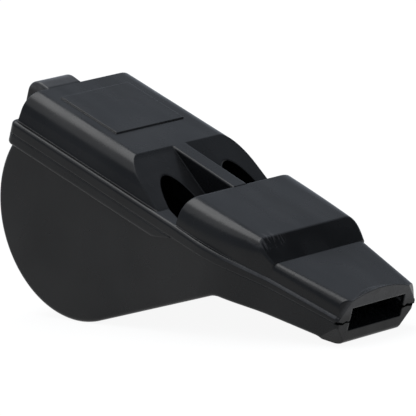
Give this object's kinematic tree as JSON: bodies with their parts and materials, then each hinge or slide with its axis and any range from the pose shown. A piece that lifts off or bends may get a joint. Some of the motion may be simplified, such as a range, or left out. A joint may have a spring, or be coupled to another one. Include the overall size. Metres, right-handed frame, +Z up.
{
  "type": "sports whistle",
  "caption": "Pealess sports whistle in black plastic: flat deck, side-open windows with ramped, arched lips, round bulb, flat beak and a lanyard eye behind the deck.",
  "frame": {"origin": "on the floor, under the middle of the bounding box", "axes": "+X toward the mouth, +Z up, +Y to the left as seen from behind; the whistle lies as it rests, on its bulb and its lower lip"},
  "size_m": [0.0584, 0.0224, 0.0305],
  "materials": {
    "black_plastic": "satin-gloss moulded"
  },
  "bodies": {
    "root": {"upper_moulding": "black_plastic", "lower_moulding": "black_plastic"}
  },
  "joints": []
}
